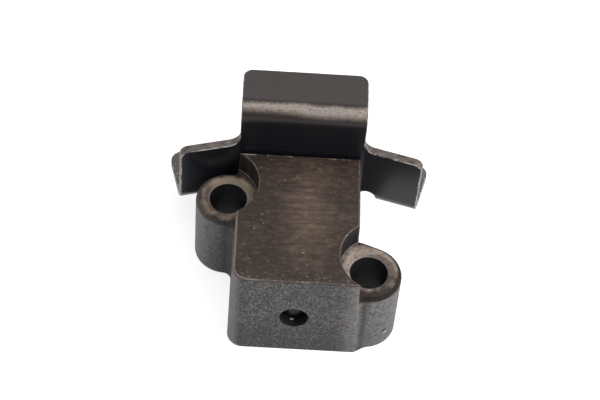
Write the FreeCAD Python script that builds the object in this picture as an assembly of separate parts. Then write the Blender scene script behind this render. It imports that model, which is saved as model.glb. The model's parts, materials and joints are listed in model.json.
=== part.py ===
import FreeCAD, Part
import math
import os
from FreeCAD import Rotation, Vector

# Hydraulic cam chain tensioner, in millimetres.
# Origin: middle of the two bolt holes on the mounting face, which is the plane z = 0.
# +X right, +Y along the plunger's stroke, +Z away from the mounting face.

# Check valve at the foot of the bore
check_ball_dia = 4.0
ball_lift = 0.8
ball_seat_clearance = 0.05
seat_land = 0.5
seat_thickness = 2.0
cage_wall = 0.5
cage_ball_clearance = 0.2
cage_headroom = 0.85
cage_window_width = 1.6
cage_window_base = 0.6
cage_window_height = 2.2
cage_window_count = 3
ball_spring_wire = 0.3
ball_spring_dia = 2.4
ball_spring_turns = 2.5

# Plunger, with its spring between the valve cage and its own wall
plunger_spring_wire = 0.9
plunger_spring_turns = 6.5
spring_side_gap = 0.3
spring_seat_gap = 0.05
plunger_wall = 1.76
plunger_clearance = 0.04
plunger_crown = 3.0
plunger_travel = 8.0
plunger_foot_gap = 0.8
plunger_foot_land = 1.3
plunger_foot_break = 0.3
plunger_nose_break = 0.4
spigot_dia = 6.0
rivet_spread = 1.1
rivet_head_height = 1.0

# Guide pin that keys the plunger and stops it at full stroke
pin_dia = 2.0
pin_setback = 4.0
pin_recess = 0.8
pin_side_clearance = 0.1
pin_end_clearance = 0.3
groove_floor = 0.56

# Oil ways, with a ball pressed into the front drilling
drilling_dia = 4.9
drilling_break = 0.15
plug_ball_depth = 0.9
feed_dia = 2.4
feed_setback = 1.6
feed_plug_gap = 1.2
feed_recess_dia = 5.0
feed_recess_depth = 0.8
bore_mouth_break = 0.4

# Cast body: walls round the bore, drafted outwards from the top to the mounting face
side_wall = 4.9
floor_wall = 3.5
roof_wall = 4.2
right_wall_step = 0.45
draft_deg = 1.2
front_left_radius = 2.8
front_right_radius = 0.8
body_corner_radius = 0.4
top_edge_break = 0.3
base_edge_break = 0.15

# Bolt bosses, one at the rear left and one at the front right, scalloped for the bolt heads
bolt_hole_dia = 6.6
bolt_hole_break = 0.25
boss_wall = 2.4
boss_drop = 4.9
boss_overhang = 1.5
boss_setback = 0.8
boss_top_round = 0.9
boss_inner_fillet = 1.5
boss_outer_fillet = 1.2
scallop_radius = 7.4
scallop_shift = 2.2
scallop_break = 0.2

# Shoe plate: folded sheet with a tongue, a top flange and two swept wings
sheet = 1.6
bend_radius = 1.8
shoe_gap = 0.3
tongue_width = 21.8
tongue_rise = 9.3
tongue_fillet = 1.9
top_flange_depth = 9.55
top_flange_corner = 1.7
web_bottom = 2.5
web_corner = 2.5
wing_bottom = 7.0
wing_height = 14.3
wing_length = 10.25
wing_sweep_deg = 15.2
wing_corner = 1.5
wing_bend_start = 0.2
wing_bend_radius = 1.5
wing_flange_depth = 10.6
wing_flange_corner = 2.0
relief_width = 3.0
relief_rise = 0.2

# Margin by which cutters pass the faces they cut, and how near counts as the same place
PAST = 1.0
NEAR = 0.01

# Radii in the bore, from the check ball outwards
ball_radius = check_ball_dia / 2
ball_contact = ball_radius * math.sqrt(0.5)
cage_inner_radius = ball_radius + cage_ball_clearance
cage_outer_radius = cage_inner_radius + cage_wall
spring_outer_radius = cage_outer_radius + spring_side_gap + plunger_spring_wire
plunger_inner_radius = spring_outer_radius + spring_side_gap
plunger_radius = plunger_inner_radius + plunger_wall
bore_radius = plunger_radius + plunger_clearance
drilling_radius = drilling_dia / 2
half_groove = pin_dia / 2 + pin_side_clearance

# Body and bosses
body_width = 2 * (bore_radius + side_wall)
axis_height = floor_wall + bore_radius
body_height = axis_height + bore_radius + roof_wall
groove_length = plunger_travel + 2 * (half_groove + pin_end_clearance)
bore_depth = (pin_setback - half_groove - pin_end_clearance + groove_length
              + plunger_foot_land + plunger_foot_gap + seat_thickness)
front_wall = plug_ball_depth + drilling_dia + feed_plug_gap + feed_dia / 2 + feed_setback
body_depth = bore_depth + front_wall
half_width = body_width / 2
front_y = -body_depth / 2
rear_y = body_depth / 2
boss_radius = bolt_hole_dia / 2 + boss_wall
boss_height = body_height - boss_drop
bolt_x = half_width + boss_overhang
bolt_y = rear_y - boss_setback - boss_radius

# Places along the plunger's axis
bore_floor_y = rear_y - bore_depth
seat_face_y = bore_floor_y + seat_thickness
ball_y = seat_face_y - seat_land + ball_contact + ball_seat_clearance
cage_roof_y = ball_y + ball_radius + ball_lift + cage_headroom
plunger_foot_y = seat_face_y + plunger_foot_gap
pin_y = rear_y - pin_setback
feed_y = bore_floor_y - feed_setback
shoe_y = rear_y + shoe_gap
shoe_back_y = shoe_y + sheet
crown_inner_y = shoe_y - plunger_crown
rivet_y = shoe_back_y - rivet_head_height

# Folds of the shoe plate
outer_bend = bend_radius + sheet
wing_top = wing_bottom + wing_height
wing_foot = wing_bottom + outer_bend
tongue_top = wing_top + tongue_rise
tongue_shoulder = tongue_top - outer_bend
wing_bend_x = tongue_width / 2 + wing_bend_start

LEFT = -1
RIGHT = 1
Y_AXIS = Vector(0, 1, 0)
Z_AXIS = Vector(0, 0, 1)
ARC_MIDDLE = math.sqrt(0.5)


def on_axis(y):
    """Point on the plunger's axis."""
    return Vector(0, y, axis_height)


def rod(radius, y_from, y_to):
    """Cylinder along the plunger's axis."""
    return Part.makeCylinder(radius, y_to - y_from, on_axis(y_from), Y_AXIS)


def cone(radius_from, radius_to, y_from, y_to):
    """Cone along the plunger's axis."""
    return Part.makeCone(radius_from, radius_to, y_to - y_from, on_axis(y_from), Y_AXIS)


def post(radius, x, y, z_from, z_to):
    """Upright cylinder."""
    return Part.makeCylinder(radius, z_to - z_from, Vector(x, y, z_from), Z_AXIS)


def line(a, b):
    return Part.makeLine(a, b)


def arc(a, middle, b):
    return Part.Arc(a, middle, b).toShape()


def half_turn(shape):
    """The same shape turned half round about the bolt pattern's middle."""
    turned = shape.copy()
    turned.rotate(Vector(0, 0, 0), Z_AXIS, 180)
    return turned


def one_solid(shape):
    """The clean single solid that a piece is made of."""
    return shape.removeSplitter().Solids[0]


def edges_where(shape, test):
    """Edges whose middle passes the test."""
    return [edge for edge in shape.Edges if test(edge.CenterOfMass)]


def same(a, b):
    """Whether two lengths are the same."""
    return abs(a - b) < NEAR


# Body

def flare(z):
    """How far the drafted walls stand out at a height, against the top."""
    return math.tan(math.radians(draft_deg)) * (body_height - z)


def block_outline(z, inset):
    """Plan of the block at a height: rounded front corners, small rear ones, a stepped right wall."""
    out = flare(z) - inset
    left = -half_width - out
    right = half_width + out
    step = right - right_wall_step
    front = front_y - out
    rear = rear_y - inset
    small = max(body_corner_radius - inset, body_corner_radius / 4)
    large = front_left_radius - inset
    medium = front_right_radius - inset
    slant = 1 - ARC_MIDDLE

    def at(x, y):
        return Vector(x, y, z)

    return Part.Wire([
        arc(at(left, front + large), at(left + large * slant, front + large * slant),
            at(left + large, front)),
        line(at(left + large, front), at(right - medium, front)),
        arc(at(right - medium, front), at(right - medium * slant, front + medium * slant),
            at(right, front + medium)),
        line(at(right, front + medium), at(right, -bolt_y)),
        line(at(right, -bolt_y), at(step, -bolt_y)),
        line(at(step, -bolt_y), at(step, rear - small)),
        arc(at(step, rear - small), at(step - small * slant, rear - small * slant), at(step - small, rear)),
        line(at(step - small, rear), at(left + small, rear)),
        arc(at(left + small, rear), at(left + small * slant, rear - small * slant), at(left, rear - small)),
        line(at(left, rear - small), at(left, front + large)),
    ])


def block():
    """Drafted casting with one large upright corner radius and broken edges."""
    levels = [
        (0, base_edge_break),
        (base_edge_break, 0),
        (body_height - top_edge_break, 0),
        (body_height, top_edge_break),
    ]
    return Part.makeLoft([block_outline(z, inset) for z, inset in levels], True, True)


def blend_centre(a, reach_a, b, reach_b):
    """Centre of a blend at given distances from two centres, on the right of the way from a to b."""
    way = b - a
    span = way.Length
    along = (reach_a ** 2 - reach_b ** 2 + span ** 2) / (2 * span)
    aside = math.sqrt(reach_a ** 2 - along ** 2)
    ahead = way.normalize()
    return a + ahead * along + Vector(ahead.y, -ahead.x, 0) * aside


def towards(a, b, distance):
    """Point so far from a on the way to b."""
    return a + (b - a).normalize() * distance


def blend_arc(centre, a, b, radius):
    """Arc of a blend between the two points where it touches."""
    return arc(a, towards(centre, (a + b) * 0.5, radius), b)


def boss_outline(z, inset, corner, face, step):
    """Plan at a height of the front right boss, blended into the wall behind it and the corner before it.

    The block has that corner radius, end face and wall step beside this boss, and the blends end
    just inside its skin."""
    right = half_width + flare(z) - inset
    wall = right - step - NEAR
    corner_radius = corner - inset - NEAR
    reach = boss_radius - inset
    back_radius = boss_inner_fillet + inset
    front_radius = boss_outer_fillet + inset
    centre = Vector(bolt_x, -bolt_y, z)
    corner_centre = Vector(right - corner + inset, face + corner, z)
    rise = math.sqrt((reach + back_radius) ** 2 - (bolt_x - wall - back_radius) ** 2)
    back = Vector(wall + back_radius, -bolt_y + rise, z)
    front = blend_centre(corner_centre, corner_radius + front_radius, centre, reach + front_radius)
    on_wall = Vector(wall, back.y, z)
    back_touch = towards(centre, back, reach)
    front_touch = towards(centre, front, reach)
    on_corner = towards(corner_centre, front, corner_radius)
    inner_x = wall - boss_overhang
    inner_back = Vector(inner_x, on_wall.y, z)
    inner_front = Vector(inner_x, on_corner.y, z)
    return Part.Wire([
        line(inner_back, on_wall),
        blend_arc(back, on_wall, back_touch, back_radius),
        arc(back_touch, centre + Vector(reach, 0, 0), front_touch),
        blend_arc(front, front_touch, on_corner, front_radius),
        line(on_corner, inner_front),
        line(inner_front, inner_back),
    ])


def boss(corner, face_at, step):
    """Front right boss with its blends, a broken foot and a rounded top edge."""
    levels = [(0, base_edge_break), (base_edge_break, 0), (boss_height, 0)]
    outlines = [boss_outline(z, inset, corner, face_at(z), step) for z, inset in levels]
    post_and_blends = Part.makeLoft(outlines, True, True)
    rim = [edge for edge in post_and_blends.Edges
           if same(edge.CenterOfMass.z, boss_height) and edge.Curve.TypeId == "Part::GeomCircle"]
    return post_and_blends.makeFillet(boss_top_round, rim)


def scallop():
    """Space for the front right bolt's head, with a broken edge at the top."""
    x = bolt_x + scallop_shift
    foot = post(scallop_radius, x, -bolt_y, boss_height, body_height + PAST)
    brim = Part.makeCone(scallop_radius, scallop_radius + scallop_break + PAST, scallop_break + PAST,
                         Vector(x, -bolt_y, body_height - scallop_break))
    return foot.fuse(brim)


def bolt_cutters():
    """Front right bolt hole and the break round its rim."""
    radius = bolt_hole_dia / 2
    hole = post(radius, bolt_x, -bolt_y, -PAST, body_height + PAST)
    rim = Part.makeCone(radius, radius + bolt_hole_break, bolt_hole_break,
                        Vector(bolt_x, -bolt_y, boss_height - bolt_hole_break))
    return hole.fuse(rim)


def oil_ways():
    """Plunger bore, front drilling, oil feed with its recess, and the guide pin's hole."""
    face_y = front_y - flare(axis_height)
    return [
        rod(bore_radius, bore_floor_y, rear_y + PAST),
        cone(bore_radius, bore_radius + bore_mouth_break, rear_y - bore_mouth_break, rear_y),
        rod(drilling_radius, face_y - PAST, bore_floor_y),
        cone(drilling_radius + drilling_break, drilling_radius, face_y, face_y + drilling_break),
        post(feed_dia / 2, 0, feed_y, -PAST, axis_height),
        post(feed_recess_dia / 2, 0, feed_y, -PAST, feed_recess_depth),
        post(pin_dia / 2, 0, pin_y, -PAST, axis_height),
    ]


def tensioner_body():
    right_boss = boss(front_right_radius, lambda z: front_y - flare(z), right_wall_step)
    left_boss = half_turn(boss(body_corner_radius, lambda z: -rear_y, 0))
    body = block().cut([scallop(), half_turn(scallop())]).fuse([right_boss, left_boss])
    body = body.cut([bolt_cutters(), half_turn(bolt_cutters())])
    return one_solid(body.cut(oil_ways()))


# Pieces in the oil ways and the bore

def plug_ball():
    return Part.makeSphere(drilling_radius, on_axis(front_y + plug_ball_depth + drilling_radius))


def valve_seat():
    """Disc pressed to the bore's floor, its orifice opened by a 45 degree cone for the ball."""
    orifice = ball_contact - seat_land
    mouth = ball_contact + seat_land
    seat = rod(bore_radius, bore_floor_y, seat_face_y)
    seat = seat.cut(rod(orifice, bore_floor_y - PAST, seat_face_y + PAST))
    return one_solid(seat.cut(cone(orifice, mouth, seat_face_y - 2 * seat_land, seat_face_y)))


def check_ball():
    return Part.makeSphere(ball_radius, on_axis(ball_y))


def valve_cage():
    """Pressed cup with a flange foot and windows for the oil."""
    cage = rod(cage_outer_radius, seat_face_y, cage_roof_y + cage_wall)
    cage = cage.fuse(rod(spring_outer_radius, seat_face_y, seat_face_y + cage_wall))
    cage = cage.cut(rod(cage_inner_radius, seat_face_y - PAST, cage_roof_y))
    window_y = seat_face_y + cage_wall + cage_window_base
    for i in range(cage_window_count):
        window = Part.makeBox(cage_window_width, cage_window_height, cage_outer_radius + PAST,
                              Vector(-cage_window_width / 2, window_y, axis_height))
        window.rotate(on_axis(0), Y_AXIS, i * 360 / cage_window_count)
        cage = cage.cut(window)
    return one_solid(cage)


def coil(wire, mean_radius, turns, y_from, y_to):
    """Helical spring of round wire between two planes across the plunger's axis."""
    length = y_to - y_from - wire
    path = Part.makeHelix(length / turns, length, mean_radius)
    section = Part.Wire(Part.makeCircle(wire / 2, Vector(mean_radius, 0, 0), Y_AXIS))
    spring = Part.Wire(path.Edges).makePipeShell([section], True, True)
    spring.Placement = FreeCAD.Placement(on_axis(y_from + wire / 2), Rotation(Z_AXIS, Y_AXIS))
    return spring


def check_ball_spring():
    mean_radius = (ball_spring_dia - ball_spring_wire) / 2
    ball_crown = ball_y + math.sqrt(ball_radius ** 2 - mean_radius ** 2)
    return coil(ball_spring_wire, mean_radius, ball_spring_turns,
                ball_crown + spring_seat_gap, cage_roof_y - spring_seat_gap)


def plunger_spring():
    mean_radius = spring_outer_radius - plunger_spring_wire / 2
    return coil(plunger_spring_wire, mean_radius, plunger_spring_turns,
                seat_face_y + cage_wall + spring_seat_gap, crown_inner_y - spring_seat_gap)


def groove_top():
    """Height of the keyway's floor, on the plunger's underside."""
    return axis_height - plunger_inner_radius - groove_floor


def guide_pin():
    return post(pin_dia / 2, 0, pin_y, pin_recess, groove_top() - pin_end_clearance)


def keyway():
    """Round-ended slot along the plunger's underside, as long as the stroke."""
    last_y = pin_y + pin_end_clearance
    first_y = pin_y - plunger_travel - pin_end_clearance
    low = axis_height - plunger_radius - PAST
    slot = Part.makeBox(2 * half_groove, last_y - first_y, groove_top() - low,
                        Vector(-half_groove, first_y, low))
    ends = [post(half_groove, 0, y, low, groove_top()) for y in (first_y, last_y)]
    return slot.fuse(ends)


def rivet():
    """Spigot of the plunger, spread into the countersink at the back of the shoe plate."""
    spigot = rod(spigot_dia / 2, shoe_y - PAST, shoe_back_y)
    return spigot.fuse(cone(spigot_dia / 2, spigot_dia / 2 + rivet_spread, rivet_y, shoe_back_y))


def plunger():
    """Hollow piston with a keyway below and a spigot riveted over flush into the shoe plate."""
    skirt = rod(plunger_radius, plunger_foot_y, shoe_y)
    skirt = skirt.makeChamfer(plunger_foot_break, edges_where(skirt, lambda c: same(c.y, plunger_foot_y)))
    skirt = skirt.makeChamfer(plunger_nose_break, edges_where(skirt, lambda c: same(c.y, shoe_y)))
    skirt = skirt.cut(rod(plunger_inner_radius, plunger_foot_y - PAST, crown_inner_y))
    return one_solid(skirt.fuse(rivet()).cut(keyway()))


# Shoe plate

def wing_point(side, along, behind, z=0.0):
    """Point on a wing: so far out along its front face from the bend line, so far behind that face."""
    sweep = math.radians(wing_sweep_deg)
    x = wing_bend_x + along * math.cos(sweep) + behind * math.sin(sweep)
    y = shoe_y - along * math.sin(sweep) + behind * math.cos(sweep)
    return Vector(side * x, y, z)


def swept_sheet():
    """Upright sheet in plan: straight behind the body and swept forward at both ends."""
    back_bend_x = wing_bend_x + sheet * math.tan(math.radians(wing_sweep_deg / 2))
    points = [
        wing_point(LEFT, wing_length, 0),
        Vector(-wing_bend_x, shoe_y, 0),
        Vector(wing_bend_x, shoe_y, 0),
        wing_point(RIGHT, wing_length, 0),
        wing_point(RIGHT, wing_length, sheet),
        Vector(back_bend_x, shoe_back_y, 0),
        Vector(-back_bend_x, shoe_back_y, 0),
        wing_point(LEFT, wing_length, sheet),
    ]
    plan = Part.makePolygon(points + points[:1])
    plan.translate(Vector(0, 0, web_bottom))
    upright = Part.Face(plan).extrude(Vector(0, 0, tongue_shoulder - web_bottom))
    front = edges_where(upright, lambda c: same(abs(c.x), wing_bend_x) and same(c.y, shoe_y))
    upright = upright.makeFillet(wing_bend_radius, front)
    back = edges_where(upright, lambda c: same(abs(c.x), back_bend_x) and same(c.y, shoe_back_y))
    return upright.makeFillet(wing_bend_radius + sheet, back)


def front_outline():
    """Block with the front view's outline: the tongue and web, crossed by the band of the wings."""
    half = tongue_width / 2
    band = wing_bend_x + wing_length + wing_flange_depth
    centre = Part.makeBox(tongue_width, body_depth, tongue_shoulder - web_bottom,
                          Vector(-half, 0, web_bottom))
    low = edges_where(centre, lambda c: same(c.z, web_bottom) and same(abs(c.x), half))
    centre = centre.makeFillet(web_corner, low)
    wings = Part.makeBox(2 * band, body_depth, wing_height - outer_bend, Vector(-band, 0, wing_foot))
    outline = centre.fuse(wings).removeSplitter()
    inner = edges_where(outline, lambda c: same(c.z, wing_top) and same(abs(c.x), half))
    return outline.makeFillet(tongue_fillet, inner)


def relief(side):
    """Arched slot that frees a wing's foot flange from the middle of the sheet."""
    radius = relief_width / 2
    x = side * (tongue_width / 2 + radius)
    foot = Vector(x - radius, 0, wing_bottom - PAST)
    arch = Vector(x, 0, wing_foot + relief_rise - radius)
    length = shoe_back_y + wing_flange_depth + PAST
    slot = Part.makeBox(relief_width, length, arch.z - foot.z, foot)
    return slot.fuse(Part.makeCylinder(radius, length, arch, Y_AXIS))


def fold_profile(at, depth):
    """Quarter bend and flat flange: at(behind, rise) places a point behind and past the bend's start."""
    middle = outer_bend * ARC_MIDDLE
    inner_middle = bend_radius * ARC_MIDDLE
    return Part.Wire([
        arc(at(0, 0), at(outer_bend - middle, middle), at(outer_bend, outer_bend)),
        line(at(outer_bend, outer_bend), at(depth, outer_bend)),
        line(at(depth, outer_bend), at(depth, bend_radius)),
        line(at(depth, bend_radius), at(outer_bend, bend_radius)),
        arc(at(outer_bend, bend_radius), at(outer_bend - inner_middle, inner_middle), at(sheet, 0)),
        line(at(sheet, 0), at(0, 0)),
    ])


def top_flange():
    """Fold at the tongue's top, its flange rounded at the free corners."""
    half = tongue_width / 2
    back = shoe_y + top_flange_depth

    def at(behind, rise):
        return Vector(-half, shoe_y + behind, tongue_shoulder + rise)

    flange = Part.Face(fold_profile(at, top_flange_depth)).extrude(Vector(tongue_width, 0, 0))
    corners = edges_where(flange, lambda c: same(c.y, back) and same(abs(c.x), half))
    return flange.makeFillet(top_flange_corner, corners)


def wing_flange(side):
    """Fold along a wing's foot, its flange rounded at the outer corner."""

    def at(behind, drop):
        return wing_point(side, 0, behind, wing_foot - drop)

    run = wing_point(side, wing_length, 0) - wing_point(side, 0, 0)
    flange = Part.Face(fold_profile(at, wing_flange_depth)).extrude(run)
    tip = wing_point(side, wing_length, wing_flange_depth, wing_bottom + sheet / 2)
    return flange.makeFillet(wing_flange_corner, edges_where(flange, lambda c: same((c - tip).Length, 0)))


def shoe_plate():
    plate = swept_sheet().common(front_outline())
    tips = [wing_point(side, wing_length, sheet / 2, wing_top) for side in (LEFT, RIGHT)]
    corners = edges_where(plate, lambda c: any(same((c - tip).Length, 0) for tip in tips))
    plate = plate.makeFillet(wing_corner, corners)
    plate = plate.fuse([top_flange(), wing_flange(LEFT), wing_flange(RIGHT)])
    plate = plate.cut([relief(LEFT), relief(RIGHT)])
    return one_solid(plate.cut(rivet()))


pieces = {
    "tensioner_body": tensioner_body,
    "plug_ball": plug_ball,
    "valve_seat": valve_seat,
    "check_ball": check_ball,
    "check_ball_spring": check_ball_spring,
    "valve_cage": valve_cage,
    "plunger_spring": plunger_spring,
    "guide_pin": guide_pin,
    "plunger": plunger,
    "shoe_plate": shoe_plate,
}

os.makedirs("parts", exist_ok=True)
for name, make in pieces.items():
    shape = make()
    shape.exportStep(f"parts/{name}.step")
    print(name, shape.ShapeType, shape.isValid(), round(shape.Volume, 2))
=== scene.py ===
import json
import math

import bmesh
import bpy
import numpy
from bpy.props import FloatProperty, FloatVectorProperty, IntProperty, PointerProperty
from mathutils import Matrix, Vector
from mathutils.bvhtree import BVHTree


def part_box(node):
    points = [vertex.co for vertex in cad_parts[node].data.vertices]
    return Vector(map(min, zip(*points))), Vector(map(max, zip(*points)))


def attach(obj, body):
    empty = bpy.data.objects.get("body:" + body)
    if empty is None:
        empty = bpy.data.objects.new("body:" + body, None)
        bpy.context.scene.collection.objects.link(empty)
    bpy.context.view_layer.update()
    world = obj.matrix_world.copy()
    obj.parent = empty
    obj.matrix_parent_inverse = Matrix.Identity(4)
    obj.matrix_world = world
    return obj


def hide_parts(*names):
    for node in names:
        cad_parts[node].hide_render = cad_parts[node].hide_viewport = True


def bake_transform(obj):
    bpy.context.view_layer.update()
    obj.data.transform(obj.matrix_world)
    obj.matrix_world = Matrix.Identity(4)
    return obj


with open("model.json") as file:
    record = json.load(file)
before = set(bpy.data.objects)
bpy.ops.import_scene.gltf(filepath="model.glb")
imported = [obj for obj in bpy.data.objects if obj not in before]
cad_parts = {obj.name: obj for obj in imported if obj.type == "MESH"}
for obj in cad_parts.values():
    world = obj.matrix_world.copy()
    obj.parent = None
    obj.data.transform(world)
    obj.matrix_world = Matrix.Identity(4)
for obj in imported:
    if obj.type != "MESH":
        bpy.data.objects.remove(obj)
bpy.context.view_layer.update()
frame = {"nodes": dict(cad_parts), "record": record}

bl_info = {
    "name": "Cam Chain Tensioner",
    "version": (1, 0, 0),
    "blender": (4, 5, 0),
    "location": "3D View > Sidebar > Tensioner",
    "description": "Dresses a hydraulic cam chain tensioner and sets up its studio",
    "category": "Object",
}

MM = 0.001
SHELTER = "shelter"
SHELTER_RAYS = 48
IDNAME = "tensioner"

# Points on a turn of a spring, and its close coiled turns at each end
SPRING_POINTS = 48
CLOSED_TURNS = 0.7

# Corners closer than SEAM are joined, and a place within TOUCH of a size is at it
SEAM = 0.0005 * MM
TOUCH = 0.01 * MM

# Places that the frame gives
OPENINGS = {space["name"]: space["box_m"] for space in frame["record"]["physics"]["openings"]}
BODY_LOW, BODY_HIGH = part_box("tensioner_body")
PLATE_LOW, PLATE_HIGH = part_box("shoe_plate")
PLUNGER_LOW, PLUNGER_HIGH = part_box("plunger")
AXIS_Z = (PLUNGER_LOW.z + PLUNGER_HIGH.z) / 2
BORE_RADIUS = (PLUNGER_HIGH.x - PLUNGER_LOW.x) / 2


def opening_middle(name):
    """Middle of a stated opening, in plan."""
    low, high = OPENINGS[name]
    return Vector(((low[0] + high[0]) / 2, (low[1] + high[1]) / 2))


GUIDE_FOOT = OPENINGS["guide_channel"][0][2]
BOLT_AXES = [opening_middle("right_bolt_hole"), opening_middle("left_bolt_hole")]
BOLT_RADIUS = frame["record"]["mounts"][0]["dims"]["hole_r_mm"] * MM

# The bolts' distance from the middle, the body's front and its left end, in millimetres
BOLT_X = BOLT_AXES[0].x / MM
FRONT = BODY_LOW.y / MM
LEFT = BODY_LOW.x / MM


# Settings

def length(name, description, default):
    """A length, given in millimetres."""
    return FloatProperty(name=name, description=description, default=default * MM, unit="LENGTH",
                         precision=5)


def point(name, description, default):
    """A point, given in millimetres."""
    return FloatVectorProperty(name=name, description=description, size=3, subtype="TRANSLATION",
                               default=[value * MM for value in default], unit="LENGTH", precision=5)


def angle(name, description, default):
    """An angle, given in degrees."""
    return FloatProperty(name=name, description=description, default=math.radians(default), unit="ROTATION")


def number(name, description, default, low, high):
    return FloatProperty(name=name, description=description, default=default, min=low, max=high)


def power(name, description, default):
    return FloatProperty(name=name, description=description, default=default, min=0.0, unit="POWER")


def colour(name, description, default):
    return FloatVectorProperty(name=name, description=description, default=default, subtype="COLOR",
                               size=3, min=0.0, max=1.0)


class BodySettings(bpy.types.PropertyGroup):
    """Sizes and colours of the cast body."""
    boss_top: length("Boss Top", "Height of the bolt bosses", 14.8)
    edge_break: length("Edge Break", "Width of the broken edge round the top", 0.3)
    boss_round: length("Boss Round", "Radius of the rounded edge of a boss", 0.9)
    right_wall: length("Right Wall", "From the middle to the block's right wall", 10.56)
    boss_blend: length("Boss Blend", "Radius of the hollow between the wall and a boss", 1.5)
    flank_lean: angle("Flank Lean", "Slope of the right boss's straight rear flank", 20.8)
    foot_break: length("Foot Break", "Width of the broken edge round the mounting face", 0.15)
    corner_ease: length("Corner Ease", "Length of the eased foot of the front right corner", 2.9)
    ease_height: length("Ease Height", "Height at which the eased corner has faded out", 12.0)
    scallop_radius: length("Scallop Radius", "Radius of the bolt head space above a boss", 7.4)
    scallop_shift: length("Scallop Shift", "How far the scallop stands out from its bolt", 2.2)
    grain_size: length("Grain Size", "Size of the specks on the cast skin", 0.36)
    line_spacing: length("Line Spacing", "Spacing of the grinding lines on the top", 0.3)
    skin: colour("Cast Skin", "Grey of the cast sides", (0.052, 0.05, 0.051))
    # Also painted light: the left end and the front left corner of the casting are made paler with it.
    speck_and_light: colour("Speck", "Light specks on the cast sides, and painted light at their left end and front left corner", (0.29, 0.28, 0.272))
    pit: colour("Pit", "Dark pits in the cast sides", (0.022, 0.021, 0.022))
    # Also painted shade in the creases and in the hollows beside the bosses.
    shade: colour("Oil Shade", "Oil stain on the cast sides, and painted shade in their creases and hollows", (0.034, 0.035, 0.04))
    top: colour("Ground Top", "Brown of the ground top", (0.045, 0.028, 0.022))
    top_light: colour("Top Light", "Tan blotches on the ground top", (0.178, 0.116, 0.084))
    # Also painted shade over the left of the ground top.
    top_stain_and_shade: colour("Top Dark", "Stains on the ground top, and painted shade at its left", (0.024, 0.017, 0.014))
    ring: colour("Boss Ring", "Rubbed tan face of the bosses", (0.262, 0.205, 0.168))
    # Also painted light on the far side of the left boss's face.
    ring_gold_and_light: colour("Ring Light", "Golden rubs on the bosses, and painted light on the left boss's far side", (0.4, 0.312, 0.215))
    ring_bare: colour("Ring Bare", "Bared face of the right boss", (0.375, 0.302, 0.262))
    ring_dark: colour("Ring Stain", "Brown stain round the bosses", (0.042, 0.028, 0.025))
    shoulder: colour("Shoulder", "Brown over the bosses' rounded edges", (0.011, 0.005, 0.0045))
    flaw: point("Flaw", "Deep pit in the cast skin", (15.95, -11.6, 3.9))
    # Painted glint: where a small light spot is put in the front drilling.
    glint_spot: point("Glint Spot", "Painted glint in the front drilling", (-0.26, -12.43, 7.07))
    glint: colour("Glint", "Painted glint in the front drilling and on the flaw's lip", (0.8, 0.8, 0.82))
    # Also painted edge highlights: the front right corner, the top's rear edge and the scallops' feet.
    rub_and_highlight: colour("Rubbed Edge and Highlight", "Bare metal on the rubbed edges, and painted edge highlights", (0.33, 0.285, 0.245))
    milled: colour("Milled Wall", "Blackened walls of the scallops", (0.0125, 0.0118, 0.012))
    bored: colour("Bored Wall", "Oily walls of the holes", (0.021, 0.021, 0.026))


class PlateSettings(bpy.types.PropertyGroup):
    """Sizes and colours of the shoe plate."""
    sheet: length("Sheet", "Thickness of the sheet", 1.6)
    bend: length("Outer Bend", "Outer radius of the folds", 3.4)
    notch: length("Notch Reach", "From the middle to the relief notches' ends", 14.6)
    edge: length("Edge Round", "Rounding of the sheet's cut edges", 0.15)
    black: colour("Blackened Skin", "Blackened faces of the sheet", (0.0078, 0.0084, 0.0114))
    # Also a painted sheen below the bright band on the bend.
    brown: colour("Bend Brown", "Brown band with painted sheen under the bend", (0.03, 0.019, 0.015))
    satin: colour("Flange Satin", "Satin top of the flange", (0.063, 0.054, 0.054))
    satin_red: colour("Flange Tint", "Reddish haze on the flange", (0.072, 0.056, 0.052))
    # Bare metal with a painted highlight along the bend.
    bright: colour("Bend Wear and Highlight", "Bare metal and painted highlight along the bend", (0.4, 0.345, 0.305))
    cut: colour("Cut Edge", "Sheared edges of the sheet", (0.122, 0.102, 0.09))
    cut_dark: colour("Cut Edge Dark", "Dark mottling on the sheared edges", (0.034, 0.025, 0.022))
    # Also a painted highlight on the sheet's rounded rims.
    rim: colour("Edge Line", "Bare line and painted highlight along the edges", (0.38, 0.355, 0.335))


class SteelSettings(bpy.types.PropertyGroup):
    """Colours of the steel pieces in the bore and the sizes of the springs."""
    ground: colour("Ground Steel", "Ground steel of the plunger", (0.24, 0.235, 0.23))
    plug: colour("Plug Ball", "Blackened ball in the front drilling", (0.016, 0.016, 0.02))
    ball: colour("Ball Steel", "Polished steel of the balls", (0.3, 0.3, 0.31))
    wire: colour("Spring Wire", "Drawn wire of the springs", (0.26, 0.26, 0.28))
    oil: colour("Oil Film", "Oil varnish on the steel", (0.16, 0.11, 0.06))
    plunger_wire: length("Plunger Spring Wire", "Wire diameter of the plunger's spring", 0.9)
    plunger_turns: number("Plunger Spring Turns", "Turns of the plunger's spring", 6.5, 2.0, 20.0)
    ball_wire: length("Ball Spring Wire", "Wire diameter of the check ball's spring", 0.3)
    ball_turns: number("Ball Spring Turns", "Turns of the check ball's spring", 2.5, 1.0, 20.0)
    wire_sides: IntProperty(name="Wire Sides", description="Faces round the wire", default=14, min=6, max=32)


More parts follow.
